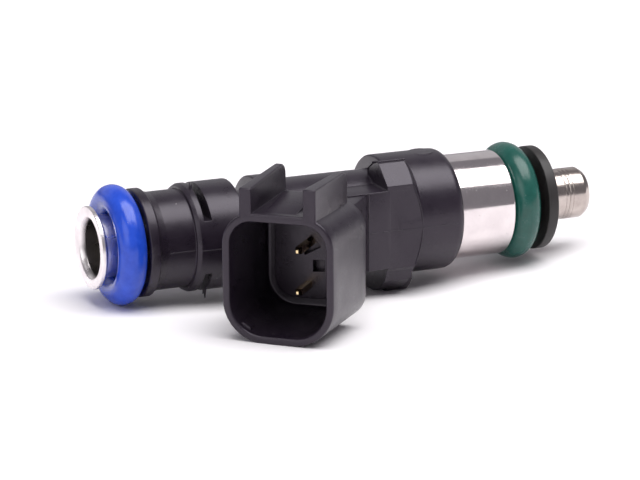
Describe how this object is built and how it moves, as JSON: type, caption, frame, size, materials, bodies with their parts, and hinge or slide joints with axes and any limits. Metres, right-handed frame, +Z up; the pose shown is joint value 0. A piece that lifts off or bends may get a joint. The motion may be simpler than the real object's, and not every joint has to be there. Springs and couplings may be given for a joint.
{
  "type": "fuel injector",
  "caption": "Port fuel injector: flared inlet tube, two O-rings, black moulded body with an angled plug shroud, steel coil housing and a spring-closed needle valve.",
  "frame": {"origin": "on the injector's axis at the centre plane of the upper O-ring", "axes": "+X along the injector axis towards the nozzle, -Y the side the connector leaves from, +Z up with the connector's guide ears on top"},
  "size_m": [0.0659, 0.0361, 0.0206],
  "materials": {
    "black_plastic": "satin glass-filled nylon, moulded",
    "inlet_steel": "drawn stainless steel, bright",
    "blue_rubber": "smooth fluorosilicone, satin",
    "green_rubber": "smooth fluorocarbon rubber, satin",
    "filter_nylon": "natural nylon",
    "filter_screen": "fine woven screen",
    "pin_gold": "gold over copper alloy, bright",
    "soft_iron": "ground magnetic steel",
    "adjuster_steel": "rolled stainless strip",
    "spring_steel": "bright spring wire",
    "needle_steel": "ground stainless steel",
    "ball_steel": "lapped bearing steel",
    "tube_steel": "deep-drawn stainless steel",
    "bobbin_nylon": "moulded nylon",
    "copper_wire": "enamelled copper wire",
    "housing_steel": "polished steel",
    "cap_plastic": "satin nylon, moulded",
    "seat_steel": "hardened ground steel",
    "nozzle_steel": "polished stainless steel"
  },
  "bodies": {
    "injector": {"overmould": "black_plastic", "fuel_tube": "inlet_steel", "upper_o_ring": "blue_rubber", "filter_frame": "filter_nylon", "filter_mesh": "filter_screen", "terminal_upper": "pin_gold", "terminal_lower": "pin_gold", "pole_core": "soft_iron", "adjusting_sleeve": "adjuster_steel", "return_spring": "spring_steel", "valve_tube": "tube_steel", "flux_washer": "soft_iron", "coil_bobbin": "bobbin_nylon", "coil_winding": "copper_wire", "coil_housing": "housing_steel", "lower_o_ring": "green_rubber", "retainer_cap": "cap_plastic", "ball_guide": "seat_steel", "valve_seat": "seat_steel", "orifice_disc": "seat_steel", "nozzle_body": "nozzle_steel"},
    "needle": {"armature": "soft_iron", "needle_tube": "needle_steel", "valve_ball": "ball_steel"}
  },
  "joints": [
    {"name": "needle_lift", "type": "slide", "parent": "injector", "child": "needle", "axis": [-1, 0, 0], "range_m": [0, 0.00007], "stiffness_N_per_m": 1500, "springref_m": -0.002, "deforming": ["return_spring"]}
  ]
}
